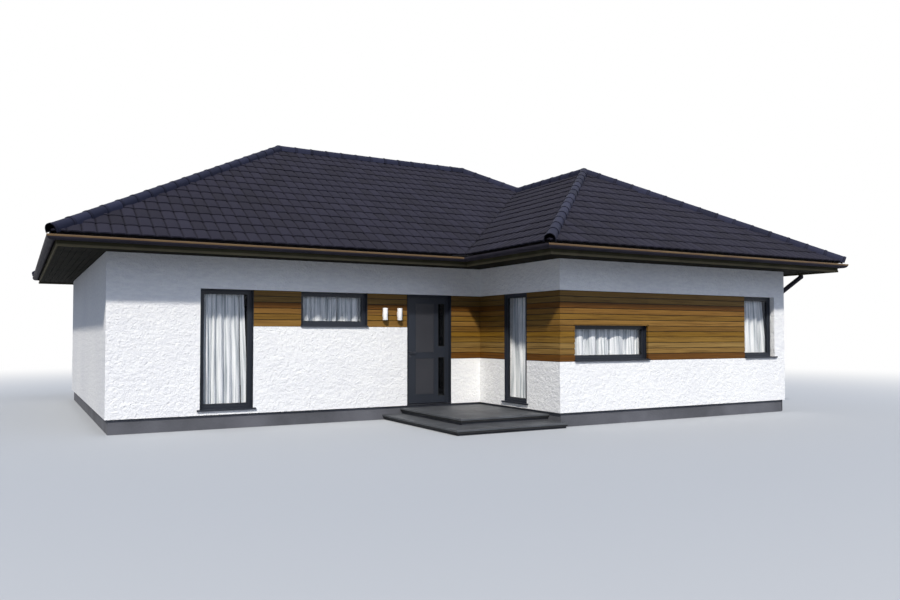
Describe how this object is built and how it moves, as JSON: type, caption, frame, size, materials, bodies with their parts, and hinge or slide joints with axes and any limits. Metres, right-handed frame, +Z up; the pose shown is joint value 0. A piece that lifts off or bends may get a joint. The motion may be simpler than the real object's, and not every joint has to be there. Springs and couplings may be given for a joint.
{
  "type": "bungalow",
  "caption": "Single-storey house on an L-shaped plan with a tiled hip roof, timber-clad bands, tall and strip windows and a hinged front door on two entrance steps.",
  "frame": {"origin": "on the ground under the middle of the whole house", "axes": "+X along the front to the right as seen from the street, +Y from the front to the back, +Z up"},
  "size_m": [15.4286, 13.0686, 6.2868],
  "materials": {
    "plinth_concrete": "matte grey plinth render",
    "floor_boards": "oiled",
    "white_render": "fine-grained white render",
    "ceiling_plaster": "painted plaster",
    "roof_tiles": "matte anthracite tiles",
    "cap_tiles": "matte anthracite caps",
    "fascia_wood": "dark brown stain",
    "soffit_wood": "dark grey-brown stain",
    "gutter_metal": "dark brown-grey coating",
    "timber_boarding": "oiled golden brown boards",
    "frame_anthracite": "anthracite powder coat",
    "window_glass": "clear double glazing",
    "sill_aluminium": "dark grey coating",
    "rail_metal": "satin",
    "curtain_voile": "white voile",
    "door_anthracite": "anthracite powder coat",
    "door_dark_glass": "dark tinted glass",
    "handle_metal": "dark grey",
    "step_stone": "honed dark grey slab",
    "step_concrete": "dark concrete",
    "lamp_white": "white"
  },
  "bodies": {
    "house": {"foundation_main": "plinth_concrete", "foundation_wing": "plinth_concrete", "floor_main": "floor_boards", "floor_wing": "floor_boards", "front_wall_left": "white_render", "front_wall_over_door": "white_render", "front_wall_right": "white_render", "wing_side_wall": "white_render", "wing_front_wall": "white_render", "right_wall": "white_render", "back_wall": "white_render", "left_wall": "white_render", "ceiling_main": "ceiling_plaster", "ceiling_wing": "ceiling_plaster", "roof_front": "roof_tiles", "roof_wing_side": "roof_tiles", "roof_wing_front": "roof_tiles", "roof_right": "roof_tiles", "roof_back": "roof_tiles", "roof_left": "roof_tiles", "ridge_caps": "cap_tiles", "hip_caps": "cap_tiles", "fascia_boards": "fascia_wood", "soffit_boards": "soffit_wood", "gutters": "gutter_metal", "downpipes": "gutter_metal", "front_boarding": "timber_boarding", "wing_side_boarding": "timber_boarding", "wing_front_boarding": "timber_boarding", "window_frames": "frame_anthracite", "window_glass": "window_glass", "window_sills": "sill_aluminium", "curtain_rails": "rail_metal", "curtains": "curtain_voile", "door_frame": "frame_anthracite", "door_threshold": "sill_aluminium", "step_upper": "step_stone", "step_lower": "step_stone", "step_base": "step_concrete", "wall_lights": "lamp_white"},
    "door": {"door_leaf": "door_anthracite", "door_glass": "door_dark_glass", "door_handle": "handle_metal"}
  },
  "joints": [
    {"name": "front_door", "type": "hinge", "parent": "house", "child": "door", "pos_m": [-0.183, -2.592, 1.368], "axis": [0, 0, -1], "range_deg": [0, 90]}
  ]
}
